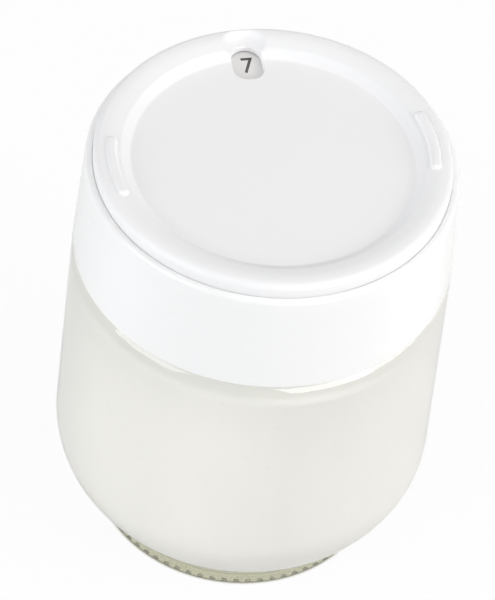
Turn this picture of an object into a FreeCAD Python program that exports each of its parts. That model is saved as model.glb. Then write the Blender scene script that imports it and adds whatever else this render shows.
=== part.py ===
import FreeCAD, Part
import math
import os

from FreeCAD import Vector

# A portion jar for set yogurt with a screw lid whose top is a turning date dial, in millimetres.
# The jar stands on its foot at the origin, +Z is up, and the window of the dial is at +Y.

# Neck and rim of the jar
mouth_radius = 27.5
neck_wall = 2.8
rim_height = 83.0
rim_rounding = 1.0

# Body of the jar. The heel height is where the straight lines of side and heel would meet.
body_wall = 2.6
body_flare = 1.1
shoulder_rounding = 2.2
neck_rounding = 1.5
inner_shoulder_drop = 2.0
inner_shoulder_rounding = 3.5
heel_height = 15.0
heel_rounding = 16.5
inner_heel_rounding = 14.0

# Base of the jar, with a hollow underneath and a notched edge on the ring that it stands on
base_thickness = 4.5
inner_floor_rounding = 8.0
foot_radius = 27.2
foot_ring_width = 6.0
foot_height = 2.9
foot_draft = 0.14
foot_top_rounding = 0.6
foot_edge_rounding = 0.4
push_up = 1.6
push_up_slope = 6.0
push_up_rounding = 10.0
notch_count = 72
notch_length = 1.8
notch_width = 0.8
notch_depth = 0.3

# Yogurt, up to a headspace below the rim
headspace = 13.5
fill_clearance = 0.1

# Thread between the neck and the lid, right-handed, with several starts
thread_starts = 4
thread_lead = 12.0
thread_depth = 1.1
thread_clearance = 0.4
thread_flank_angle = 20.0
thread_flank_clearance = 0.3
thread_root_overlap = 0.5
thread_below_rim = 5.9
neck_thread_arc = 100.0
lid_thread_arc = 60.0

# Liner that seals the mouth
liner_thickness = 1.5
liner_web = 0.9
liner_seat_width = 4.5
liner_clearance = 0.6
liner_bead_bite = 0.2
liner_bead_height = 0.8
liner_bead_land = 0.3
liner_bead_gap = 0.15

# Lid
lid_wall = 1.7
roof_thickness = 1.5
skirt_depth = 21.2
skirt_flare = 1.25
skirt_gap = 0.3
skirt_edge_rounding = 0.5
lid_rim_width = 1.2
lid_rim_height = 1.6
lid_rim_rounding = 0.85
lid_rim_inner_rounding = 0.12

# Upright ring on the lid that the dial snaps over
snap_ring_wall = 0.7
snap_ring_height = 1.7
snap_bite = 0.2
snap_clearance = 0.15
snap_bead_gap = 0.3
snap_bead_land = 0.2
snap_lead_in = 0.25

# Date disc, kept from turning by a key on the snap ring
disc_thickness = 1.1
disc_clearance = 0.3
key_width = 2.0
key_length = 1.0
key_clearance = 0.2

# Dial
seam_gap = 0.15
deck_clearance = 0.1
dial_gap = 0.3
dial_floor = 0.8
dial_wall = 1.0
ring_width = 4.9
ring_rise = 2.0
ring_fall = 0.6
ring_outer_rounding = 1.3
ring_inner_rounding = 1.0
dish_slope_width = 1.8
dish_rounding = 1.0
dial_edge_rounding = 0.3

# Window of the dial, and the finger scoop around its outer end
window_width = 5.6
window_outer_inset = 3.4
window_length = 8.0
window_corner = 2.5
scoop_half_width = 4.1
scoop_outer_inset = 0.5
scoop_wall = 0.8

# Grip ribs on the ring of the dial
rib_width = 2.0
rib_outer_inset = 2.2
rib_arc = 29.0
rib_height = 0.55
rib_rounding = 0.5

# Radii and heights that follow from the sizes above
neck_radius = mouth_radius + neck_wall
thread_radius = neck_radius + thread_depth
lid_bore = thread_radius + thread_clearance
lid_radius = lid_bore + lid_wall
skirt_radius = lid_radius + skirt_flare
heel_radius = skirt_radius + body_flare
dial_bore = lid_radius - lid_rim_width
dial_radius = dial_bore - seam_gap
dial_inner_radius = dial_radius - dial_wall
snap_bead_radius = dial_inner_radius - snap_clearance
dial_bead_radius = snap_bead_radius - snap_bite
snap_ring_radius = dial_bead_radius - snap_clearance
snap_ring_bore = snap_ring_radius - snap_ring_wall
disc_radius = snap_ring_bore - disc_clearance
liner_radius = lid_bore - liner_clearance

roof_height = rim_height + liner_thickness
deck_height = roof_height + roof_thickness
seam_height = deck_height + lid_rim_height
skirt_height = seam_height - skirt_depth
shoulder_height = skirt_height - skirt_gap
fill_height = rim_height - headspace
disc_top = deck_height + disc_thickness
snap_ring_top = deck_height + snap_ring_height
dial_underside = disc_top + dial_gap
dish_height = dial_underside + dial_floor
dial_ceiling = snap_ring_top + dial_gap
ring_height = dish_height + ring_rise

# Ridges of neck and lid share the pitch, so those of the lid lie midway between those of the neck
thread_pitch = thread_lead / thread_starts
thread_width = thread_pitch / 2 - thread_flank_clearance
neck_thread_height = rim_height - thread_below_rim
lid_thread_height = neck_thread_height - thread_pitch / 2

origin = Vector(0, 0, 0)
up = Vector(0, 0, 1)


def outline(corners):
    """Closed wire through (x, y, rounding) corners, each rounded as far as its two sides leave room."""
    shortest = 1e-6
    points = [Vector(x, y, 0) for x, y, rounding in corners]
    count = len(points)
    reach = [0.0] * count
    arcs = []
    for i, (x, y, rounding) in enumerate(corners):
        before = points[i - 1] - points[i]
        after = points[(i + 1) % count] - points[i]
        half_turn = (math.pi - before.getAngle(after)) / 2
        reach[i] = min(
            rounding * math.tan(half_turn),
            before.Length - reach[i - 1],
            after.Length - reach[(i + 1) % count],
        )
        before.normalize()
        after.normalize()
        cut_back = 0.0
        if reach[i] > shortest:
            cut_back = reach[i] / math.tan(half_turn) * (1 / math.cos(half_turn) - 1)
        towards_centre = before + after
        if towards_centre.Length > shortest:
            towards_centre.normalize()
        arcs.append((
            points[i] + before * reach[i],
            points[i] + towards_centre * cut_back,
            points[i] + after * reach[i],
        ))
    edges = []
    for i, (start, middle, end) in enumerate(arcs):
        last = arcs[i - 1][2]
        if last.distanceToPoint(start) > shortest:
            edges.append(Part.LineSegment(last, start).toShape())
        if reach[i] > shortest:
            edges.append(Part.Arc(start, middle, end).toShape())
    return Part.Wire(edges)


def lathe(corners):
    """Solid of revolution about Z from a closed section of (radius, height, rounding) corners."""
    section = Part.Face(outline(corners)).rotated(origin, Vector(1, 0, 0), 90)
    return section.revolve(origin, up, 360)


def prism(corners, bottom, top):
    """Upright solid from a closed plan of (x, y, rounding) corners."""
    plan = Part.Face(outline(corners)).translated(up * bottom)
    return plan.extrude(up * (top - bottom))


def turned(shape, angle):
    """Copy of a shape turned about Z."""
    return shape.rotated(origin, up, angle)


def inset_corner(before, corner, after, distance):
    """Where a corner goes when the two sides that meet in it both shift to their left."""
    along = Vector(*corner, 0) - Vector(*before, 0)
    onward = Vector(*after, 0) - Vector(*corner, 0)
    along.normalize()
    onward.normalize()
    left = Vector(-along.y, along.x, 0)
    next_left = Vector(-onward.y, onward.x, 0)
    moved = Vector(*corner, 0) + (left + next_left) * (distance / (1 + left.dot(next_left)))
    return moved.x, moved.y


def thread(root_radius, crest_radius, middle_height, arc):
    """Ridges of the thread, one for each start, with their middles at the given height."""
    rise = thread_lead * arc / 360
    depth = abs(crest_radius - root_radius)
    flank_slope = math.tan(math.radians(thread_flank_angle))
    crest_half = thread_width / 2 - flank_slope * thread_depth / 2
    root_half = crest_half + flank_slope * depth
    section = Part.makePolygon([
        Vector(root_radius, 0, -root_half),
        Vector(crest_radius, 0, -crest_half),
        Vector(crest_radius, 0, crest_half),
        Vector(root_radius, 0, root_half),
        Vector(root_radius, 0, -root_half),
    ])
    helix = Part.makeHelix(thread_lead, rise, neck_radius)
    ridge = Part.Wire(helix.Edges).makePipeShell([section], True, True)
    ridge = turned(ridge, -arc / 2)
    ridge = ridge.translated(up * (middle_height - rise / 2))
    return [turned(ridge, 360 / thread_starts * i) for i in range(thread_starts)]


def skirt_growth(height):
    """How much wider the lid is at a height than at its top."""
    return skirt_flare * (seam_height - height) / skirt_depth


def inside(inset):
    """Corners of the jar's inner surface from the neck to the axis, drawn in by an inset."""
    wall = body_wall + inset
    foot = (foot_radius + foot_draft, foot_height)
    heel = (heel_radius, heel_height)
    shoulder = (skirt_radius, shoulder_height)
    inner_heel = inset_corner(foot, heel, shoulder, wall)
    floor_height = base_thickness + inset
    heel_slope = (heel[0] - foot[0]) / (heel[1] - foot[1])
    floor_radius = inner_heel[0] - (inner_heel[1] - floor_height) * heel_slope
    neck_foot = shoulder_height - wall
    return [
        (mouth_radius - inset, neck_foot, inner_shoulder_rounding),
        (skirt_radius - wall, neck_foot - inner_shoulder_drop, inner_shoulder_rounding),
        (*inner_heel, inner_heel_rounding),
        (floor_radius, floor_height, inner_floor_rounding),
        (0, floor_height, 0),
    ]


def make_glass_jar():
    """Pressed glass: one turned wall, with notches in the foot and a thread on the neck."""
    foot_inner_radius = foot_radius - foot_ring_width
    wall = lathe([
        (0, push_up, 0),
        (foot_inner_radius - push_up_slope, push_up, push_up_rounding),
        (foot_inner_radius, 0, foot_edge_rounding),
        (foot_radius, 0, foot_edge_rounding),
        (foot_radius + foot_draft, foot_height, foot_top_rounding),
        (heel_radius, heel_height, heel_rounding),
        (skirt_radius, shoulder_height, shoulder_rounding),
        (neck_radius, shoulder_height, neck_rounding),
        (neck_radius, rim_height, rim_rounding),
        (mouth_radius, rim_height, rim_rounding),
        *inside(0),
    ])
    notch_radius = (notch_width ** 2 / 4 + notch_depth ** 2) / (2 * notch_depth)
    notch_start = Vector(foot_radius - notch_length, 0, notch_depth - notch_radius)
    notch = Part.makeCylinder(notch_radius, 2 * notch_length, notch_start, Vector(1, 0, 0))
    notches = [turned(notch, 360 / notch_count * i) for i in range(notch_count)]
    ridges = thread(neck_radius - thread_root_overlap, thread_radius, neck_thread_height, neck_thread_arc)
    return wall.cut(Part.makeCompound(notches)).multiFuse(ridges)


def make_yogurt():
    """Set yogurt, which takes the shape of the inside of the jar up to its level."""
    brimful = lathe([
        (0, rim_height, 0),
        (mouth_radius - fill_clearance, rim_height, 0),
        *inside(fill_clearance),
    ])
    return brimful.common(Part.makeCylinder(heel_radius, fill_height))


def make_lid_liner():
    """Soft disc that the rim presses against, thinner in the middle."""
    seat_inner_radius = neck_radius - liner_seat_width
    web_height = roof_height - liner_web
    return lathe([
        (0, web_height, 0),
        (seat_inner_radius, web_height, 0),
        (seat_inner_radius, rim_height, 0),
        (liner_radius, rim_height, 0),
        (liner_radius, roof_height, 0),
        (0, roof_height, 0),
    ])


def disc_key(clearance):
    """Plan of the key on the inside of the snap ring, or of its notch in the disc with a clearance."""
    half_width = key_width / 2 + clearance
    inner_end = -(disc_radius - key_length - clearance)
    outer_end = -(snap_ring_bore + snap_ring_wall / 2)
    return [
        (-half_width, inner_end, 0),
        (-half_width, outer_end, 0),
        (half_width, outer_end, 0),
        (half_width, inner_end, 0),
    ]


def make_lid_cap():
    """Moulded lid: skirt, roof, rim around the dial, snap ring, liner bead, thread and disc key."""
    liner_bead_top = rim_height - liner_bead_gap
    liner_bead_bottom = liner_bead_top - liner_bead_height
    liner_bead_radius = liner_radius - liner_bead_bite
    bead_slope = (liner_bead_height - liner_bead_land) / 2
    snap_slope = snap_bead_radius - snap_ring_radius
    snap_bead_low = snap_ring_top - snap_lead_in - snap_bead_land
    shell = lathe([
        (0, roof_height, 0),
        (lid_bore + skirt_growth(roof_height), roof_height, 0),
        (lid_bore + skirt_growth(liner_bead_top), liner_bead_top, 0),
        (liner_bead_radius, liner_bead_top - bead_slope, 0),
        (liner_bead_radius, liner_bead_bottom + bead_slope, 0),
        (lid_bore + skirt_growth(liner_bead_bottom), liner_bead_bottom, 0),
        (lid_bore + skirt_flare, skirt_height, skirt_edge_rounding),
        (skirt_radius, skirt_height, skirt_edge_rounding),
        (lid_radius, seam_height, lid_rim_rounding),
        (dial_bore, seam_height, lid_rim_inner_rounding),
        (dial_bore, deck_height, 0),
        (snap_ring_radius, deck_height, 0),
        (snap_ring_radius, snap_bead_low - snap_slope, 0),
        (snap_bead_radius, snap_bead_low, 0),
        (snap_bead_radius, snap_bead_low + snap_bead_land, 0),
        (snap_bead_radius - snap_lead_in, snap_ring_top, 0),
        (snap_ring_bore, snap_ring_top, 0),
        (snap_ring_bore, deck_height, 0),
        (0, deck_height, 0),
    ])
    thread_root = lid_bore + skirt_growth(lid_thread_height) + thread_root_overlap
    ridges = thread(thread_root, neck_radius + thread_clearance, lid_thread_height, lid_thread_arc)
    key = prism(disc_key(0), deck_height - roof_thickness / 2, disc_top)
    return shell.multiFuse([*ridges, key])


def make_date_disc():
    """Printed disc that lies on the lid's roof inside the snap ring."""
    disc = Part.makeCylinder(disc_radius, disc_thickness, up * deck_height)
    return disc.cut(prism(disc_key(key_clearance), deck_height, disc_top))


def make_rib():
    """Grip rib on the ring: a curved bar with round ends, at +X."""
    outer = dial_radius - rib_outer_inset
    inner = outer - rib_width
    middle = (outer + inner) / 2
    half_arc = math.radians(rib_arc / 2) - rib_width / 2 / middle

    def at(radius, angle):
        return Vector(radius * math.cos(angle), radius * math.sin(angle), 0)

    tip = half_arc + rib_width / 2 / middle
    plan = Part.Wire([
        Part.Arc(at(outer, -half_arc), at(outer, 0), at(outer, half_arc)).toShape(),
        Part.Arc(at(outer, half_arc), at(middle, tip), at(inner, half_arc)).toShape(),
        Part.Arc(at(inner, half_arc), at(inner, 0), at(inner, -half_arc)).toShape(),
        Part.Arc(at(inner, -half_arc), at(middle, -tip), at(outer, -half_arc)).toShape(),
    ])
    bottom = dial_ceiling + dial_gap
    bar = Part.Face(plan).translated(up * bottom).extrude(up * (ring_height + rib_height - bottom))
    top_edges = [edge for edge in bar.Edges if edge.BoundBox.ZMin > ring_height]
    return bar.makeFillet(rib_rounding, top_edges)


def make_dial_cover():
    """Turning top: dish, raised ring, wall with a snap bead, window with a finger scoop, two ribs."""
    ring_bore = dial_radius - ring_width
    dish_radius = ring_bore - dish_slope_width
    ring_inner_height = ring_height - ring_fall
    slope = math.atan2(ring_inner_height - dish_height, dish_slope_width)
    underside_radius = dish_radius + dial_floor * math.tan(slope / 2)
    ceiling_bore = underside_radius + (dial_ceiling - dial_underside) / math.tan(slope)
    bottom = deck_height + deck_clearance
    bead_slope = dial_inner_radius - dial_bead_radius
    snap_bead_start = snap_ring_top - snap_lead_in - snap_bead_land - (snap_bead_radius - snap_ring_radius)
    bead_top = snap_bead_start + bead_slope - snap_bead_gap + snap_clearance
    cover = lathe([
        (0, dial_underside, 0),
        (underside_radius, dial_underside, 0),
        (ceiling_bore, dial_ceiling, 0),
        (dial_inner_radius, dial_ceiling, 0),
        (dial_inner_radius, bead_top, 0),
        (dial_bead_radius, bead_top - bead_slope, 0),
        (dial_bead_radius, bottom + snap_lead_in, 0),
        (dial_bead_radius + snap_lead_in, bottom, 0),
        (dial_radius, bottom, dial_edge_rounding),
        (dial_radius, ring_height, ring_outer_rounding),
        (ring_bore, ring_inner_height, ring_inner_rounding),
        (dish_radius, dish_height, dish_rounding),
        (0, dish_height, 0),
    ])
    scoop_radius = (scoop_half_width ** 2 + ring_rise ** 2) / (2 * ring_rise)
    scoop_middle = dial_radius - scoop_outer_inset - scoop_half_width
    scoop = Part.makeSphere(scoop_radius, Vector(0, scoop_middle, dish_height + scoop_radius))
    backing_half_width = scoop_half_width + scoop_wall
    backing_end = snap_ring_bore - disc_clearance
    backing = prism(
        [
            (-backing_half_width, dish_radius, 0),
            (backing_half_width, dish_radius, 0),
            (backing_half_width, dial_radius, 0),
            (-backing_half_width, dial_radius, 0),
        ],
        dial_underside,
        dial_ceiling + dial_gap,
    ).common(Part.makeCylinder(backing_end, ring_height))
    window_end = dial_radius - window_outer_inset
    half_width = window_width / 2
    window = prism(
        [
            (-half_width, window_end - window_length, window_corner),
            (half_width, window_end - window_length, window_corner),
            (half_width, window_end, half_width),
            (-half_width, window_end, half_width),
        ],
        dial_underside,
        ring_height,
    )
    ribs = [turned(make_rib(), angle) for angle in (0, 180)]
    return cover.fuse(backing).cut(scoop).cut(window).multiFuse(ribs)


pieces = {
    "glass_jar": make_glass_jar,
    "yogurt": make_yogurt,
    "lid_liner": make_lid_liner,
    "lid_cap": make_lid_cap,
    "date_disc": make_date_disc,
    "dial_cover": make_dial_cover,
}

os.makedirs("parts", exist_ok=True)
for name, make in pieces.items():
    make().removeSplitter().exportStep(f"parts/{name}.step")
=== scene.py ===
import math

import bmesh
import bpy
import numpy as np
from mathutils import Matrix, Vector
from mathutils.geometry import delaunay_2d_cdt


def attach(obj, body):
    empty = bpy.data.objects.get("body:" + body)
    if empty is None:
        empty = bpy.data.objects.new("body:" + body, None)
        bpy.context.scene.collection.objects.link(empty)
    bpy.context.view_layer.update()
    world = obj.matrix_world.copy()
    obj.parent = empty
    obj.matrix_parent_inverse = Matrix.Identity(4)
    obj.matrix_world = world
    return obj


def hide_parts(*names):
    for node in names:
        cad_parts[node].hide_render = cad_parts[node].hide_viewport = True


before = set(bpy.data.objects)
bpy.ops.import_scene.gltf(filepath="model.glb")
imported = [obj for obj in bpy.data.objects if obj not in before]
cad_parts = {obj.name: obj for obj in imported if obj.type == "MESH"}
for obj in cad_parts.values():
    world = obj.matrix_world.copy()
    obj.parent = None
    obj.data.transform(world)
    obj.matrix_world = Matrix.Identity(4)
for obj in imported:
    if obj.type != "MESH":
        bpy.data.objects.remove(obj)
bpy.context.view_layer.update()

# Glass jar: one piece of clear pressed soda-lime glass with a faint green cast.
# The foot ring is knurled, so that the hot glass keeps off the belt, and four thread ridges
# are pressed into the outside of the neck. All sizes below are in millimetres.

mm = 0.001
mouth_radius = 27.5
neck_radius = 30.3
rim_height = 83.0
shoulder_radius = 34.75
shoulder_height = 66.1
heel_radius = 35.85
heel_height = 15.0
foot_radius = 27.2
foot_top_radius = 27.34
foot_height = 2.9
foot_inner_radius = 21.2
foot_edge_rounding = 0.4
foot_top_rounding = 0.6
heel_rounding = 16.5
shoulder_rounding = 2.2
neck_rounding = 1.5
rim_rounding = 1.0
body_wall = 2.6
base_thickness = 4.5
inner_shoulder_drop = 2.0
inner_shoulder_rounding = 3.5
inner_heel_rounding = 14.0
inner_floor_rounding = 8.0
push_up = 1.6
push_up_radius = 14.6
push_up_rounding = 10.0
notch_count = 72
notch_columns = 8
notch_length = 1.8
notch_width = 0.8
notch_depth = 0.3
notch_round = (notch_width ** 2 / 4 + notch_depth ** 2) / (2 * notch_depth)
thread_starts = 4
thread_lead = 12.0
thread_depth = 1.1
thread_crest_half = 0.4
thread_root_half = 0.8
thread_fade = math.radians(9)
neck_thread_height = 77.1
neck_thread_arc = math.radians(100)
neck_thread_zone = 11.0
glass_step = 2.5
notch_step = 0.13
thread_step = 0.16


def rounded(corners, turn=9.0):
    """Points of an open line of (radius, height, rounding) corners, with an arc at each rounded one."""
    line = [np.array(corners[0][:2], float)]
    taken = 0.0
    for before, corner, after in zip(corners, corners[1:], corners[2:]):
        here = np.array(corner[:2], float)
        back = np.array(before[:2], float) - here
        onward = np.array(after[:2], float) - here
        back_length = np.hypot(*back)
        onward_length = np.hypot(*onward)
        back /= back_length
        onward /= onward_length
        half = math.acos(np.clip(back @ onward, -1, 1)) / 2
        taken = min(corner[2] / math.tan(half), back_length - taken, onward_length)
        if taken < 1e-6:
            line.append(here)
            continue
        towards = (back + onward) / np.hypot(*(back + onward))
        centre = here + towards * taken / math.cos(half)
        steps = max(2, math.ceil((180 - 2 * math.degrees(half)) / turn))
        spokes = [here + back * taken - centre, here + onward * taken - centre]
        swing = math.pi - 2 * half
        for i in range(steps + 1):
            share = swing * i / steps
            weights = math.sin(swing - share) / math.sin(swing), math.sin(share) / math.sin(swing)
            line.append(centre + spokes[0] * weights[0] + spokes[1] * weights[1])
    line.append(np.array(corners[-1][:2], float))
    return line


def closer(line, step, low=-math.inf, high=math.inf):
    """The same line with points no further apart than a step, between two heights."""
    filled = [line[0]]
    for start, end in zip(line, line[1:]):
        within = low <= min(start[1], end[1]) and max(start[1], end[1]) <= high
        parts = math.ceil(np.hypot(*(end - start)) / step) if within else 1
        filled += [start + (end - start) * i / parts for i in range(1, parts + 1)]
    return filled


def moulded(name, points, faces, sharp=40):
    """An object from points in millimetres, shaded smooth except along sharp edges."""
    mesh = bpy.data.meshes.new(name)
    mesh.from_pydata((np.asarray(points) * mm).tolist(), [], faces)
    mesh.shade_smooth()
    mesh.set_sharp_from_angle(angle=math.radians(sharp))
    piece = bpy.data.objects.new(name, mesh)
    bpy.context.scene.collection.objects.link(piece)
    return piece


def turned(name, line, columns, press=None):
    """A piece turned about the jar's axis from a line of points that starts and ends on the axis."""
    angles = np.arange(columns) * 2 * math.pi / columns
    inner = np.array(line[1:-1])
    angle, radius = np.meshgrid(angles, inner[:, 0])
    height = np.repeat(inner[:, 1:], columns, axis=1)
    if press:
        radius, height = press(radius, angle, height)
    rings = np.stack([radius * np.cos(angle), radius * np.sin(angle), height], axis=-1)
    poles = [(0, 0, line[0][1])], [(0, 0, line[-1][1])]
    points = np.concatenate([poles[0], rings.reshape(-1, 3), poles[1]])
    here = 1 + np.arange(height.size).reshape(height.shape)
    beside = np.roll(here, -1, axis=1)
    faces = np.stack([here[:-1], beside[:-1], beside[1:], here[1:]], axis=-1).reshape(-1, 4).tolist()
    faces += [(0, b, a) for a, b in zip(here[0].tolist(), beside[0].tolist())]
    faces += [(len(points) - 1, a, b) for a, b in zip(here[-1].tolist(), beside[-1].tolist())]
    return moulded(name, points, faces)


def inner_corners(inset):
    """Corners of the jar's inner surface from the neck to the axis, drawn in by an inset."""
    wall = body_wall + inset
    along = np.array([heel_radius - foot_top_radius, heel_height - foot_height])
    onward = np.array([shoulder_radius - heel_radius, shoulder_height - heel_height])
    slope = along[0] / along[1]
    left = np.array([-along[1], along[0]]) / np.hypot(*along)
    next_left = np.array([-onward[1], onward[0]]) / np.hypot(*onward)
    heel = np.array([heel_radius, heel_height]) + (left + next_left) * wall / (1 + left @ next_left)
    floor_height = base_thickness + inset
    neck_foot = shoulder_height - wall
    return [
        (mouth_radius - inset, neck_foot, inner_shoulder_rounding),
        (shoulder_radius - wall, neck_foot - inner_shoulder_drop, inner_shoulder_rounding),
        (*heel, inner_heel_rounding),
        (heel[0] - (heel[1] - floor_height) * slope, floor_height, inner_floor_rounding),
        (0, floor_height, 0),
    ]


def smooth(share):
    """A share from 0 to 1 that leaves both ends gently."""
    share = np.clip(share, 0, 1)
    return share * share * (3 - 2 * share)


def ridges(angle, height, middle, arc):
    """How far the thread's ridges stand out at each point, from 0 to 1."""
    out = np.zeros_like(height)
    for start in range(thread_starts):
        along = (angle - start * 2 * math.pi / thread_starts + math.pi) % (2 * math.pi) - math.pi
        drop = np.abs(height - middle - thread_lead * along / (2 * math.pi))
        flank = smooth((thread_root_half - drop) / (thread_root_half - thread_crest_half))
        out = np.maximum(out, flank * smooth((arc / 2 - np.abs(along)) / thread_fade))
    return out


def press_glass(radius, angle, height):
    """Notches under the edge of the foot, and the thread on the neck."""
    pitch = 2 * math.pi / notch_count
    across = ((angle / pitch + 0.5) % 1 - 0.5) * pitch * radius
    groove = notch_depth - notch_round + np.sqrt(np.maximum(notch_round ** 2 - across ** 2, 0))
    notched = (height < notch_depth + foot_edge_rounding) & (radius > foot_radius - notch_length)
    height = np.where(notched, np.maximum(height, groove), height)
    outside = (radius > neck_radius - 0.01) & (height > shoulder_height + neck_rounding)
    stand = ridges(angle, height, neck_thread_height, neck_thread_arc)
    return radius + thread_depth * stand * outside, height


glass_line = rounded([
    (0, push_up, 0),
    (push_up_radius, push_up, push_up_rounding),
    (foot_inner_radius, 0, foot_edge_rounding),
    (foot_radius - notch_length - 0.05, 0, 0),
    (foot_radius - notch_length + 0.05, 0, 0),
    (foot_radius - notch_length / 2, 0, 0),
    (foot_radius, 0, foot_edge_rounding),
    (foot_top_radius, foot_height, foot_top_rounding),
    (heel_radius, heel_height, heel_rounding),
    (shoulder_radius, shoulder_height, shoulder_rounding),
    (neck_radius, shoulder_height, neck_rounding),
    (neck_radius, rim_height, rim_rounding),
    (mouth_radius, rim_height, rim_rounding),
    *inner_corners(0),
], turn=5)
brim = next(i for i, point in enumerate(glass_line) if point[1] > rim_height - 0.9)
inner_line = closer(glass_line[brim:], glass_step)
outer_line = closer(glass_line[:brim], glass_step)
outer_line = closer(outer_line, thread_step, rim_height - neck_thread_zone, rim_height)
foot = next(i for i, point in enumerate(outer_line) if point[0] > foot_radius - 0.5)
outer_line[foot:] = closer(outer_line[foot:], notch_step, 0.001, foot_height + 0.4)
glass_line = outer_line + inner_line
glass_jar = turned("glass_jar_pressed", glass_line, notch_count * notch_columns, press_glass)


class Signal:
    """A socket in a finish, so that the finish's maths is written as plain sums."""

    def __init__(self, tree, socket=None):
        self.tree = tree
        self.socket = socket

    def node(self, kind, settings={}, sockets={}, out=0):
        """Adds a node: its settings first, then the values or links of its sockets."""
        added = self.tree.nodes.new("ShaderNode" + kind)
        for name, value in settings.items():
            setattr(added, name, value)
        for name, value in sockets.items():
            if isinstance(value, Signal):
                self.tree.links.new(value.socket, added.inputs[name])
            else:
                added.inputs[name].default_value = value
        return Signal(self.tree, added.outputs[out] if len(added.outputs) else None)

    def sum(self, operation, first, second):
        return self.node("Math", {"operation": operation}, {0: first, 1: second})

    def __add__(self, other):
        return self.sum("ADD", self, other)

    def __radd__(self, other):
        return self.sum("ADD", other, self)

    def __sub__(self, other):
        return self.sum("SUBTRACT", self, other)

    def __rsub__(self, other):
        return self.sum("SUBTRACT", other, self)

    def __mul__(self, other):
        return self.sum("MULTIPLY", self, other)

    def __rmul__(self, other):
        return self.sum("MULTIPLY", other, self)


def new_finish(name):
    """An empty material, and the signal that its nodes start from."""
    finish = bpy.data.materials.new(name)
    finish.use_nodes = True
    finish.node_tree.nodes.clear()
    return finish, Signal(finish.node_tree)


def grain(start, scale, detail=2.0):
    """Noise at a scale of so many spots to the metre, fixed to the piece."""
    place = start.node("TexCoord", out="Object")
    return start.node("TexNoise", {}, {"Vector": place, "Scale": scale, "Detail": detail})


def letting_light(start, body, share, colour):
    """A body that lets a share of the light through to what lies behind it."""
    return start.node("MixShader", {}, {
        0: share * start.node("LightPath", out="Is Shadow Ray"),
        1: body,
        2: start.node("BsdfTransparent", {}, {"Color": colour}),
    })


clear_glass, glass = new_finish("clear_glass")
glass_waves = grain(glass, 55, 1.5)
glass_skin = grain(glass, 420)
glass_relief = glass.node("Bump", {}, {
    "Strength": 0.25,
    "Distance": 0.35 * mm,
    "Height": glass_waves + 0.04 * glass_skin,
})
glass_body = glass.node("BsdfPrincipled", {}, {
    "Base Color": (0.985, 0.995, 0.985, 1),
    "Roughness": 0.012 + 0.03 * glass_skin,
    "IOR": 1.5,
    "Transmission Weight": 1.0,
    "Normal": glass_relief,
})
glass.node("OutputMaterial", {}, {
    "Surface": letting_light(glass, glass_body, 1.0, (0.97, 0.985, 0.96, 1)),
    "Volume": glass.node("VolumeAbsorption", {}, {"Color": (0.62, 0.66, 0.45, 1), "Density": 22.0}),
})
glass_jar.data.materials.append(clear_glass)
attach(glass_jar, "jar")
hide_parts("glass_jar")

# Yogurt: set in the jar, so it wets the glass and takes the shape of its inside up to the neck.
# The top has set almost flat, with a low swell and a small rise where it clings to the wall.

fill_height = 69.5
yogurt_bite = 0.12
cling_height = 0.45
cling_width = 1.6
swell = 0.12
swell_pitch = 5.1
swell_core = 12.0


def set_top(radius, angle, height):
    """The free surface: it climbs a little at the wall and swells slightly."""
    free = np.abs(height - fill_height) < 0.01
    climb = cling_height * np.exp((radius - mouth_radius) / cling_width)
    waves = np.cos(radius / swell_pitch + 2 * angle) * np.sin(3 * angle + 0.4)
    waves *= np.minimum(radius / swell_core, 1)
    return radius, height + free * (climb + swell * waves - cling_height)


yogurt_brim = mouth_radius + yogurt_bite
yogurt_side = rounded([(yogurt_brim, fill_height, 0), *inner_corners(-yogurt_bite)], turn=5)
yogurt_top = closer([np.array([yogurt_brim, fill_height]), np.array([0, fill_height])], 0.7)
yogurt_line = closer(yogurt_side[::-1], 3.0) + yogurt_top[1:]
yogurt = turned("yogurt_set", yogurt_line, 180, set_top)

set_yogurt, curd = new_finish("set_yogurt")
curd_cloud = grain(curd, 38, 3.0)
curd_fine = grain(curd, 900, 3.0)
curd_place = curd.node("TexCoord", out="Object")
pore_distance = curd.node("TexVoronoi", {}, {"Vector": curd_place, "Scale": 260.0})
pores = curd.node("MapRange", {"interpolation_type": "SMOOTHSTEP"}, {
    "Value": pore_distance,
    "From Min": 0.06,
    "From Max": 0.16,
    "To Min": 1.0,
    "To Max": 0.0,
})
curd_tone = curd.node("Mix", {"data_type": "RGBA"}, {
    0: curd_cloud,
    6: (0.75, 0.726, 0.727, 1),
    7: (0.778, 0.755, 0.756, 1),
}, out=2)
curd_colour = curd.node("Mix", {"data_type": "RGBA"}, {
    0: 0.25 * pores,
    6: curd_tone,
    7: (0.69, 0.675, 0.645, 1),
}, out=2)
curd_relief = curd.node("Bump", {}, {
    "Strength": 0.3,
    "Distance": 0.06 * mm,
    "Height": curd_fine + 0.6 * curd_cloud - 0.5 * pores,
})
curd.node("OutputMaterial", {}, {
    "Surface": curd.node("BsdfPrincipled", {}, {
        "Base Color": curd_colour,
        "Roughness": 0.36 + 0.16 * curd_fine,
        "IOR": 1.36,
        "Normal": curd_relief,
    }),
})
yogurt.data.materials.append(set_yogurt)
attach(yogurt, "jar")
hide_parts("yogurt")

# Liner: a soft disc of translucent white silicone that lies under the roof of the lid.
# It is pressed between roof and rim, is thinner in the middle, and a bead in the lid keeps it there.

liner_radius = 31.2
liner_seat_radius = 25.8
roof_height = 84.5
liner_web = 0.9

lid_liner = turned("lid_liner_disc", closer(rounded([
    (0, roof_height - liner_web, 0),
    (liner_seat_radius, roof_height - liner_web, 0.3),
    (liner_seat_radius, rim_height, 0.25),
    (liner_radius, rim_height, 0.3),
    (liner_radius, roof_height, 0.15),
    (0, roof_height, 0),
], turn=15), 3.0), 240)

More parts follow.
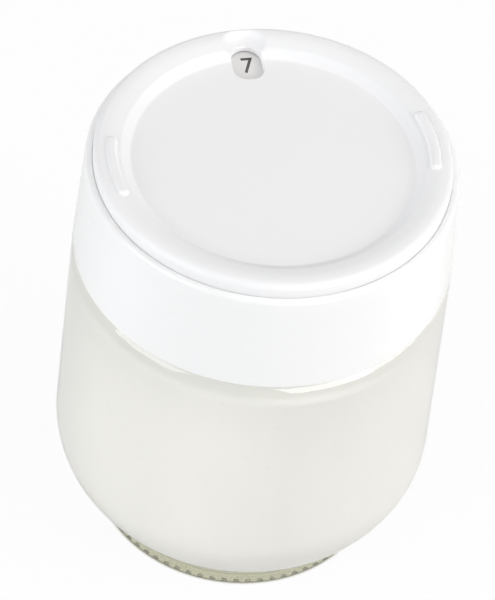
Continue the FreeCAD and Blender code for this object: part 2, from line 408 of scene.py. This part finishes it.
liner_silicone, silicone = new_finish("liner_silicone")
silicone_cloud = grain(silicone, 70, 3.0)
silicone_matt = grain(silicone, 1600)
silicone_tone = silicone.node("Mix", {"data_type": "RGBA"}, {
    0: silicone_cloud,
    6: (0.76, 0.78, 0.78, 1),
    7: (0.84, 0.85, 0.85, 1),
}, out=2)
silicone.node("OutputMaterial", {}, {
    "Surface": silicone.node("BsdfPrincipled", {}, {
        "Base Color": silicone_tone,
        "Roughness": 0.42 + 0.2 * silicone_matt,
        "IOR": 1.41,
        "Normal": silicone.node("Bump", {}, {
            "Strength": 0.3,
            "Distance": 0.03 * mm,
            "Height": silicone_matt,
        }),
    }),
})
lid_liner.data.materials.append(liner_silicone)
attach(lid_liner, "liner")
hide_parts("lid_liner")

# Lid cap: one glossy white moulding in polypropylene. Its skirt screws down over the neck, flush with
# the glass, and its deck carries the snap ring that the dial clips over and the key of the date disc.

lid_bore = 31.8
lid_radius = 33.5
skirt_flare = 1.25
skirt_height = 66.4
seam_height = 87.6
deck_height = 86.0
dial_bore = 32.3
seam_bore = 32.19
seam_floor = 87.42
snap_ring_bore = 29.95
snap_ring_radius = 30.65
snap_ring_top = 87.7
snap_bead_radius = 31.0
snap_bead_heights = 86.9, 87.25, 87.45
snap_lead_in = 0.25
liner_bead_radius = 31.0
liner_bead_heights = 82.05, 82.3, 82.6, 82.85
lid_thread_height = 75.6
lid_thread_arc = math.radians(60)
lid_thread_stand = 1.4
lid_thread_zone = 70.0, 81.0
lid_translucence = 0.25


def grown(height):
    """The bore of the lid, which widens from its top to the lower edge of the skirt."""
    return lid_bore + skirt_flare * (seam_height - height) / (seam_height - skirt_height)


def press_lid(radius, angle, height):
    """The thread inside the skirt, which passes under the ridges of the neck."""
    inside = (radius < grown(height) + 0.01) & (radius > snap_bead_radius)
    within = inside & (height < lid_thread_zone[1])
    stand = ridges(angle, height, lid_thread_height, lid_thread_arc)
    return radius - lid_thread_stand * stand * within, height


lid_inside = rounded([
    (0, roof_height, 0),
    (grown(roof_height), roof_height, 0.3),
    (grown(liner_bead_heights[3]), liner_bead_heights[3], 0.1),
    (liner_bead_radius, liner_bead_heights[2], 0.1),
    (liner_bead_radius, liner_bead_heights[1], 0.1),
    (grown(liner_bead_heights[0]), liner_bead_heights[0], 0.3),
    (grown(lid_thread_zone[0]), lid_thread_zone[0], 0),
], turn=15)
lid_edge = rounded([
    (grown(lid_thread_zone[0]), lid_thread_zone[0], 0),
    (lid_bore + skirt_flare, skirt_height, 0.5),
    (lid_radius + skirt_flare, skirt_height, 0.5),
    (lid_radius, seam_height, 0.85),
    (dial_bore, seam_height, 0.12),
    (dial_bore, seam_floor, 0),
    (seam_bore, seam_floor, 0),
    (seam_bore, deck_height, 0.02),
    (snap_ring_radius, deck_height, 0.2),
    (snap_ring_radius, snap_bead_heights[0], 0.1),
    (snap_bead_radius, snap_bead_heights[1], 0.1),
    (snap_bead_radius, snap_bead_heights[2], 0.1),
    (snap_bead_radius - snap_lead_in, snap_ring_top, 0.1),
    (snap_ring_bore, snap_ring_top, 0.1),
    (snap_ring_bore, deck_height, 0.15),
    (0, deck_height, 0),
], turn=8)
lid_threaded = closer(lid_inside[-2:], 0.18)
lid_line = closer(lid_inside[:-2], 3.0) + lid_threaded[1:] + closer(lid_edge[1:], 3.0)
lid_cap = turned("lid_cap_moulding", lid_line, 360, press_lid)

lid_white, resin = new_finish("lid_white")
resin_flow = grain(resin, 24, 2.0)
resin_skin = grain(resin, 1300, 2.0)
resin_tone = resin.node("Mix", {"data_type": "RGBA"}, {
    0: resin_flow,
    6: (0.855, 0.857, 0.86, 1),
    7: (0.885, 0.885, 0.885, 1),
}, out=2)
resin_body = resin.node("BsdfPrincipled", {}, {
    "Base Color": resin_tone,
    "Roughness": 0.2 + 0.1 * resin_skin,
    "IOR": 1.49,
    "Normal": resin.node("Bump", {}, {
        "Strength": 0.16,
        "Distance": 0.02 * mm,
        "Height": resin_skin + 3.0 * resin_flow,
    }),
})
resin.node("OutputMaterial", {}, {
    "Surface": letting_light(resin, resin_body, lid_translucence, (1, 1, 1, 1)),
})
lid_cap.data.materials.append(lid_white)
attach(lid_cap, "lid")
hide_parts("lid_cap")

# Disc key: a small upright block on the deck, moulded in one with the lid cap and of the same plastic.
# It stands in a notch of the date disc and keeps the disc from turning with the dial.

key_half_width = 1.0
key_inner_end = -28.65
key_outer_end = -30.3
key_top = 87.1
key_root = 0.4

key_plan = [
    (-key_half_width, key_outer_end),
    (key_half_width, key_outer_end),
    (key_half_width, key_inner_end),
    (-key_half_width, key_inner_end),
]
disc_key = moulded(
    "disc_key",
    [(*corner, height) for height in (deck_height - key_root, key_top) for corner in key_plan],
    [(3, 2, 1, 0), (4, 5, 6, 7), *[(i, (i + 1) % 4, (i + 1) % 4 + 4, i + 4) for i in range(4)]],
)
key_edges = disc_key.modifiers.new("moulded_edges", "BEVEL")
key_edges.width = 0.12 * mm
key_edges.segments = 2
disc_key.data.materials.append(lid_white)
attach(disc_key, "lid")

# Date disc: a thin disc of pale grey plastic, punched from sheet with a notch for the key.
# It lies loose on the deck inside the snap ring, under the dial.

disc_print, stock = new_finish("disc_print")
stock_cloud = grain(stock, 90, 3.0)
stock_matt = grain(stock, 2200, 2.0)
stock_tone = stock.node("Mix", {"data_type": "RGBA"}, {
    0: stock_cloud,
    6: (0.76, 0.745, 0.735, 1),
    7: (0.81, 0.797, 0.79, 1),
}, out=2)
stock.node("OutputMaterial", {}, {
    "Surface": stock.node("BsdfPrincipled", {}, {
        "Base Color": stock_tone,
        "Roughness": 0.5 + 0.2 * stock_matt,
        "Normal": stock.node("Bump", {}, {
            "Strength": 0.2,
            "Distance": 0.02 * mm,
            "Height": stock_matt,
        }),
    }),
})
date_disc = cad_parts["date_disc"]
date_disc.data.materials.clear()
date_disc.data.materials.append(disc_print)

# Numerals: the days from 1 to 31, printed around the date disc in a film of dark grey ink.
# Their feet are towards the middle, and the seventh stands under the window.

disc_top = 87.1
numeral_radius = 25.2
numeral_height = 3.9
numeral_weight = 0.008
numeral_squeeze = 0.86
pair_squeeze = 0.66
print_turn = -0.7
ink_thickness = 0.02
ink_bite = 0.005
days = 31
shown_day = 7


def printed(words):
    """Points and faces of printed figures, centred, with their height set to 1."""
    figures = bpy.data.curves.new("figures", "FONT")
    figures.body = words
    figures.extrude = 0.01
    figures.offset = numeral_weight
    holder = bpy.data.objects.new("figures", figures)
    bpy.context.scene.collection.objects.link(holder)
    bpy.context.view_layer.update()
    mesh = bpy.data.meshes.new_from_object(holder.evaluated_get(bpy.context.evaluated_depsgraph_get()))
    points = np.array([vertex.co for vertex in mesh.vertices])
    faces = [tuple(polygon.vertices) for polygon in mesh.polygons]
    bpy.data.objects.remove(holder)
    low, high = points.min(axis=0), points.max(axis=0)
    return (points - (low + high) / 2) / (high[1] - low[1]), faces


numeral_points = []
numeral_faces = []
for day in range(1, days + 1):
    points, faces = printed(str(day))
    squeeze = numeral_squeeze if day < 10 else pair_squeeze
    depth = points[:, 2] / np.ptp(points[:, 2]) * ink_thickness
    turn = math.radians((shown_day - day) * 360 / days + print_turn)
    across = points[:, 0] * numeral_height * squeeze
    outward = numeral_radius + points[:, 1] * numeral_height
    first = len(numeral_points)
    numeral_points += zip(
        across * math.cos(turn) - outward * math.sin(turn),
        across * math.sin(turn) + outward * math.cos(turn),
        disc_top + depth + ink_thickness / 2 - ink_bite,
    )
    numeral_faces += [tuple(first + i for i in face) for face in faces]
date_numerals = moulded("date_numerals", numeral_points, numeral_faces)
ink_film = bmesh.new()
ink_film.from_mesh(date_numerals.data)
bmesh.ops.remove_doubles(ink_film, verts=ink_film.verts, dist=0.0001 * mm)
bmesh.ops.recalc_face_normals(ink_film, faces=ink_film.faces)
ink_film.to_mesh(date_numerals.data)
ink_film.free()

numeral_ink, ink = new_finish("numeral_ink")
ink_blots = grain(ink, 3000, 2.0)
ink_tone = ink.node("Mix", {"data_type": "RGBA"}, {
    0: ink_blots,
    6: (0.05, 0.047, 0.046, 1),
    7: (0.085, 0.08, 0.078, 1),
}, out=2)
ink.node("OutputMaterial", {}, {
    "Surface": ink.node("BsdfPrincipled", {}, {
        "Base Color": ink_tone,
        "Roughness": 0.42 + 0.2 * ink_blots,
    }),
})
date_numerals.data.materials.append(numeral_ink)
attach(date_numerals, "lid")

# Dial: the white top that turns on the lid to set the date, one satin moulding in polypropylene.
# It snaps over the ring on the deck, and has a window over the days, a finger scoop behind the window
# and two grip ribs on its raised ring.

dial_radius = 32.15
dial_inner_radius = 31.15
dial_bottom = 86.1
dial_lead_in = 31.05
dial_bead_radius = 30.8
dial_bead_heights = 86.35, 86.75, 87.1
dial_underside = 87.4
dial_ceiling = 88.0
dish_height = 88.2
dish_radius = 25.45
dish_rounding = 1.0
under_slope = 25.72, 26.5
under_backing = 29.65
ring_bore = 27.25
ring_inner_height = 89.6
ring_inner_rounding = 1.0
ring_height = 90.2
ring_outer_rounding = 1.3
ring_crown_radius = 29.7
ring_crown = 90.35
ring_crown_rounding = 6.0
dial_columns = 360
window_half_width = 2.8
window_inner_end = 20.75
window_outer_end = 28.75
window_corner = 2.5
window_edge = 0.25
scoop_middle = 27.55
scoop_radius = 5.2025
scoop_reach = 4.9
scoop_edge = 0.45
rib_radius = 28.95
rib_half_width = 1.0
rib_half_arc = math.radians(14.5) - rib_half_width / rib_radius
rib_top = 90.75
rib_edge = 0.8
rib_foot = 0.16
rib_fall = 9.0
window_zone = 0.6
rib_zone = 0.42
dial_translucence = 0.3

dial_line = rounded([
    (0, dish_height, 0),
    (dish_radius, dish_height, dish_rounding),
    (ring_bore, ring_inner_height, ring_inner_rounding),
    (ring_crown_radius, ring_crown, ring_crown_rounding),
    (dial_radius, ring_height, ring_outer_rounding),
    (dial_radius, dial_bottom, 0.3),
    (dial_lead_in, dial_bottom, 0),
    (dial_bead_radius, dial_bead_heights[0], 0.1),
    (dial_bead_radius, dial_bead_heights[1], 0.1),
    (dial_inner_radius, dial_bead_heights[2], 0.1),
    (dial_inner_radius, dial_ceiling, 0),
], turn=8)
brink = next(i for i, point in enumerate(dial_line) if point[0] > dial_radius - 1e-6)
dial_top_line = np.array(dial_line[:brink + 1])
dial_wall = dial_line[brink + 1:]


def window_distance(x, y):
    """Distance from the edge of the window, negative inside it."""
    middle = (window_inner_end + window_outer_end) / 2
    corner = np.where(y > middle, window_half_width, window_corner)
    over_x = np.abs(x) - window_half_width + corner
    over_y = np.abs(y - middle) - (window_outer_end - window_inner_end) / 2 + corner
    outside = np.hypot(np.maximum(over_x, 0), np.maximum(over_y, 0))
    return outside + np.minimum(np.maximum(over_x, over_y), 0) - corner


def rib_distance(x, y):
    """Distance from the middle line of the nearer grip rib."""
    angle = np.clip(np.arctan2(y, np.abs(x)), -rib_half_arc, rib_half_arc)
    return np.hypot(np.abs(x) - rib_radius * np.cos(angle), y - rib_radius * np.sin(angle))


def lower_of(first, second, width):
    """The lower of two heights, with a rounded edge of a width where they cross."""
    share = np.clip(0.5 + 0.5 * (second - first) / width, 0, 1)
    return second + (first - second) * share - width * share * (1 - share)


def dial_top(x, y):
    """Height of the upper side of the dial."""
    height = np.interp(np.hypot(x, y), dial_top_line[:, 0], dial_top_line[:, 1])
    off = rib_distance(x, y)
    shoulder = np.clip(off - rib_half_width + rib_edge, 0, rib_edge)
    rib = rib_top - rib_edge + np.sqrt(rib_edge ** 2 - shoulder ** 2)
    rib = rib - rib_fall * np.maximum(off - rib_half_width, 0)
    height = -lower_of(-height, -np.maximum(rib, dish_height - 1), rib_foot)
    bowl = np.maximum(scoop_radius ** 2 - x ** 2 - (y - scoop_middle) ** 2, 0)
    scoop = dish_height + scoop_radius - np.sqrt(bowl)
    height = np.where(bowl > 0, lower_of(height, scoop, scoop_edge), height)
    edge = window_edge - np.clip(window_distance(x, y), 0, window_edge)
    return height - window_edge + np.sqrt(window_edge ** 2 - edge ** 2)


def dial_under(x, y):
    """Height of the under side of the dial, which is thicker behind the window to back the scoop."""
    radius = np.hypot(x, y)
    height = np.interp(radius, under_slope, (dial_underside, dial_ceiling))
    backed = (np.abs(x) < scoop_reach) & (y > dish_radius) & (radius < under_backing)
    return np.where(backed, dial_underside, height)


def ring_of(radius, columns):
    """Points on a circle about the axis of the dial."""
    angle = np.arange(columns) * 2 * math.pi / columns
    return np.stack([radius * np.cos(angle), radius * np.sin(angle)], axis=-1)


def window_loop(offset, spacing=0.2):
    """Points around the window at a distance outside its edge."""
    side = window_half_width - window_corner
    turns = [
        (side, window_inner_end + window_corner, window_corner, -90, 0),
        (0, window_outer_end - window_half_width, window_half_width, 0, 180),
        (-side, window_inner_end + window_corner, window_corner, 180, 270),
    ]
    loop = []
    for x, y, corner, start, end in turns:
        bend = corner + offset
        steps = math.ceil(math.radians(end - start) * bend / spacing)
        for angle in np.radians(np.linspace(start, end, steps + 1)):
            loop.append(np.array([x + bend * math.cos(angle), y + bend * math.sin(angle)]))
    return np.array(closer(loop + loop[:1], spacing)[:-1])


def rib_loop(offset, side, spacing=0.3):
    """Points around a grip rib at a distance outside its edge."""
    reach = rib_half_width + offset
    steps = math.ceil(2 * rib_half_arc * rib_radius / spacing)
    cap = max(3, math.ceil(math.pi * reach / spacing))
    along = np.linspace(-rib_half_arc, rib_half_arc, steps + 1)
    loop = [((rib_radius + reach) * math.cos(a), (rib_radius + reach) * math.sin(a)) for a in along]
    for end in (1, -1):
        middle = end * rib_half_arc
        for lean in np.linspace(0, math.pi, cap + 1)[1:-1]:
            bend = middle + lean if end > 0 else middle + math.pi + lean
            tip = rib_radius * np.array([math.cos(middle), math.sin(middle)])
            loop.append(tuple(tip + reach * np.array([math.cos(bend), math.sin(bend)])))
        if end > 0:
            inner = rib_radius - reach
            loop += [(inner * math.cos(a), inner * math.sin(a)) for a in along[::-1]]
    return np.array(loop) * (side, 1)


def meshed(layers, outer, hole):
    """Triangles over a disc with the window left out, and where its outer ring and window went."""
    plan = np.concatenate([outer, hole, *layers])
    count = len(outer)
    links = [(i, (i + 1) % count) for i in range(count)]
    links += [(count + i, count + (i + 1) % len(hole)) for i in range(len(hole))]
    found = delaunay_2d_cdt([Vector(point) for point in plan], links, [], 0, 1e-6, True)
    spots = np.array([tuple(point) for point in found[0]])
    went = {origin: i for i, origins in enumerate(found[3]) for origin in origins}
    faces = [tuple(face) for face in found[2]]
    middles = spots[np.array(faces)].mean(axis=1)
    keep = window_distance(middles[:, 0], middles[:, 1]) > 0
    faces = [face for face, wanted in zip(faces, keep) if wanted]
    return spots, faces, [went[i] for i in range(count)], [went[count + i] for i in range(len(hole))]


def clear_of(points, scoop_too=True):
    """The points that lie outside the zones of the window, the ribs and, if wanted, the scoop."""
    x, y = points[:, 0], points[:, 1]
    clear = window_distance(x, y) > window_zone
    clear &= rib_distance(x, y) > rib_half_width + rib_zone
    if scoop_too:
        clear &= np.hypot(x, y - scoop_middle) > scoop_reach
    return points[clear & (np.hypot(x, y) < dial_radius - 1e-4)]


ring_line = np.array(closer(list(dial_top_line[1:]), 0.4))
floor_rings = [ring_of(radius, max(8, round(radius * 2.6))) for radius in np.arange(2.0, 24.0, 2.0)]
ring_rings = [ring_of(radius, dial_columns) for radius in ring_line[:-1, 0]]
scoop_rings = [
    ring_of(radius, max(8, round(2 * math.pi * radius / 0.24))) + (0, scoop_middle)
    for radius in np.arange(0.25, scoop_reach, 0.22)
]
scoop_spots = np.concatenate(scoop_rings)
scoop_spots = scoop_spots[np.hypot(scoop_spots[:, 0], scoop_spots[:, 1]) < dial_radius - 0.08]
scoop_spots = scoop_spots[window_distance(scoop_spots[:, 0], scoop_spots[:, 1]) > window_zone]
window_steps = [0.02, 0.06, 0.11, 0.17, 0.25, 0.4]
rib_steps = [-0.95, -0.7, -0.5, -0.4, -0.3, -0.2, -0.12, -0.05, 0.0, 0.03, 0.07, 0.12, 0.2, 0.3]
outer_ring = ring_of(dial_radius, dial_columns)
window_rim = window_loop(0)
top_spots, top_faces, top_ring, top_window = meshed(
    [clear_of(np.concatenate([[(0.0, 0.0)], *floor_rings, *ring_rings])), scoop_spots]
    + [window_loop(step) for step in window_steps]
    + [rib_loop(step, side) for step in rib_steps for side in (1, -1)],
    outer_ring,
    window_rim,
)
under_radii = 24.5, 25.2, *under_slope, 27.4, 28.4, 29.6, 29.7, 30.4
under_rings = [ring_of(radius, dial_columns) for radius in under_radii]
under_spots, under_faces, under_ring, under_window = meshed(
    [clear_of(np.concatenate([[(0.0, 0.0)], *floor_rings, *under_rings]), False)],
    ring_of(dial_inner_radius, dial_columns),
    window_rim,
)

dial_points = [*zip(*top_spots.T, dial_top(*top_spots.T))]
dial_points += zip(*under_spots.T, dial_under(*under_spots.T))
sunk = len(top_spots)
dial_faces = top_faces + [tuple(sunk + i for i in face[::-1]) for face in under_faces]
for i in range(len(window_rim)):
    j = (i + 1) % len(window_rim)
    dial_faces.append((top_window[i], top_window[j], sunk + under_window[j], sunk + under_window[i]))
wall_rows = [top_ring]
for radius, height in dial_wall[:-1]:
    wall_rows.append(range(len(dial_points), len(dial_points) + dial_columns))
    dial_points += [(x, y, height) for x, y in ring_of(radius, dial_columns)]
wall_rows.append([sunk + i for i in under_ring])
for above, below in zip(wall_rows, wall_rows[1:]):
    for i in range(dial_columns):
        j = (i + 1) % dial_columns
        dial_faces.append((above[i], below[i], below[j], above[j]))
dial_cover = moulded("dial_cover_moulding", dial_points, dial_faces, 55)

dial_white, satin = new_finish("dial_white")
satin_flow = grain(satin, 30, 2.0)
satin_spark = grain(satin, 2400, 3.0)
satin_tone = satin.node("Mix", {"data_type": "RGBA"}, {
    0: satin_flow,
    6: (0.84, 0.84, 0.848, 1),
    7: (0.87, 0.868, 0.875, 1),
}, out=2)
satin_body = satin.node("BsdfPrincipled", {}, {
    "Base Color": satin_tone,
    "Roughness": 0.3 + 0.14 * satin_spark,
    "IOR": 1.49,
    "Normal": satin.node("Bump", {}, {
        "Strength": 0.22,
        "Distance": 0.02 * mm,
        "Height": satin_spark + 2.0 * satin_flow,
    }),
})
satin.node("OutputMaterial", {}, {
    "Surface": letting_light(satin, satin_body, dial_translucence, (1, 1, 1, 1)),
})
dial_cover.data.materials.append(dial_white)
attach(dial_cover, "dial")
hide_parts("dial_cover")

# Floor: a plain white studio table. Cameras and glass see it almost as white as paper, and it still
# takes the soft shadow of the jar. Under the foot its colour is painted dark as a contact shadow, and
# its glow there is painted the green of light that has come through the glass.

floor_half = 3.0
floor_glow = 0.93
floor_matt = (0.86, 0.86, 0.86, 1)
# Painted shadow: the dark colour the floor is given under the foot.
painted_foot_shadow = (0.12, 0.12, 0.1, 1)
# Painted light: a green glow under the foot that stands in for light come through the glass.
painted_foot_glow = (0.74, 0.725, 0.545, 1)
# Radii from the axis over which the painted shadow and painted glow under the foot fade out.
painted_foot_reach = 26.9 * mm, 27.8 * mm

floor_mesh = bpy.data.meshes.new("studio_floor")
floor_corners = (-1, -1), (1, -1), (1, 1), (-1, 1)
floor_points = [(x * floor_half, y * floor_half, 0) for x, y in floor_corners]
floor_mesh.from_pydata(floor_points, [], [(0, 1, 2, 3)])
studio_floor = bpy.data.objects.new("studio_floor", floor_mesh)
bpy.context.scene.collection.objects.link(studio_floor)


def seen(start, *kinds):
    """1 for what is seen along any of these kinds of ray."""
    paths = [start.node("LightPath", out=f"Is {kind} Ray") for kind in kinds]
    return start.node("Math", {"operation": "MINIMUM"}, {0: sum(paths), 1: 1.0})


floor_white, table = new_finish("floor_white")
table_place = table.node("TexCoord", out="Object")
table_reach = table.node("VectorMath", {"operation": "LENGTH"}, {0: table_place}, out="Value")
# Mask of the painted shadow and painted glow: 0 under the foot, 1 on the open table.
clear_of_painted_foot = table.node("MapRange", {"interpolation_type": "SMOOTHSTEP"}, {
    "Value": table_reach,
    "From Min": painted_foot_reach[0],
    "From Max": painted_foot_reach[1],
})


def from_foot(kind, near, far):
    """A shader of one kind with a painted colour under the foot, painted shadow for the diffuse and
    painted green glow for the emission, and another on the open table.
    """
    return table.node("MixShader", {}, {
        0: clear_of_painted_foot,
        1: table.node(kind, {}, {"Color": near}),
        2: table.node(kind, {}, {"Color": far}),
    })


# Under the foot the diffuse is a painted shadow and the glow is painted green light from the glass.
table.node("OutputMaterial", {}, {
    "Surface": table.node("MixShader", {}, {
        0: floor_glow * (clear_of_painted_foot * seen(table, "Camera") + seen(table, "Transmission")),
        1: from_foot("BsdfDiffuse", painted_foot_shadow, floor_matt),
        2: from_foot("Emission", painted_foot_glow, (1, 1, 1, 1)),
    }),
})
floor_mesh.materials.append(floor_white)

# Light: a large soft key from the right, a cool fill from the left, a faint sheet overhead and a card
# that shows only as a glint on gloss and glass, in a pale studio. Each level is the share of its own
# colour that a white card facing the lamp would show.

aim = Vector((0, 0, 0.06))
sky_level = 0.45


def softbox(name, level, direction, distance, size, colour, glint=False):
    """A square lamp that lights a card facing it to a level, or is only mirrored in gloss."""
    lamp = bpy.data.lights.new(name, "AREA")
    lamp.energy = level * math.pi ** 2 * distance ** 2
    lamp.size = size
    lamp.color = colour
    holder = bpy.data.objects.new(name, lamp)
    towards = Vector(direction).normalized()
    holder.location = aim + towards * distance
    holder.rotation_euler = towards.to_track_quat("Z", "Y").to_euler()
    holder.visible_camera = False
    holder.visible_diffuse = not glint
    holder.visible_transmission = not glint
    bpy.context.scene.collection.objects.link(holder)


softbox("key_softbox", 0.68, (0.82, -0.48, 0.5), 1.3, 0.9, (1.0, 0.995, 0.985))
softbox("top_sheet", 0.105, (0.05, 0.25, 1.0), 1.4, 1.4, (1.0, 1.0, 1.0))
softbox("left_fill", 0.54, (-0.9, -0.3, 0.43), 1.3, 0.9, (0.97, 0.985, 1.0))
softbox("glint_card", 1.2, (0.44, -0.82, 0.36), 1.3, 1.1, (1.0, 1.0, 1.0), glint=True)

studio = bpy.data.worlds.new("studio")
studio.use_nodes = True
studio.node_tree.nodes.clear()
sky = Signal(studio.node_tree)
sky.node("OutputWorld", {}, {
    "Surface": sky.node("MixShader", {}, {
        0: seen(sky, "Camera", "Glossy", "Transmission"),
        1: sky.node("Background", {}, {"Color": (1, 1, 1, 1), "Strength": sky_level}),
        2: sky.node("Background", {}, {"Color": (1, 1, 1, 1), "Strength": 1.0}),
    }),
})
bpy.context.scene.world = studio

# Camera: a long lens, high in front of the jar and a little to its left, tilted slightly.
# The seam around the dial is what it was levelled on.

seam_reach = 32.0
lens_distance = 20.0
lens_right = -0.1416
lens_up = -0.7638
lens_elevation = math.radians(48.02)
lens_roll = math.radians(6.95)
lens_azimuth = math.radians(-16)
lens_length = 215.6

swing = Matrix.Rotation(lens_azimuth, 3, "Z")
back = Vector((0, -math.cos(lens_elevation), math.sin(lens_elevation)))
level = Vector((1, 0, 0))
upright = Vector((0, math.sin(lens_elevation), math.cos(lens_elevation)))
across = swing @ (level * math.cos(lens_roll) + upright * math.sin(lens_roll))
upward = swing @ (upright * math.cos(lens_roll) - level * math.sin(lens_roll))
back = swing @ back
stand = (back * lens_distance + across * lens_right + upward * lens_up) * seam_reach * mm
pose = Matrix((across, upward, back)).transposed().to_4x4()
pose.translation = Vector((0, 0, seam_height * mm)) + stand
lens = bpy.data.cameras.new("long_lens")
lens.lens = lens_length
lens.sensor_width = 36.0
camera = bpy.data.objects.new("long_lens", lens)
camera.matrix_world = pose
bpy.context.scene.collection.objects.link(camera)
bpy.context.scene.camera = camera
bpy.context.scene.view_settings.view_transform = "Standard"
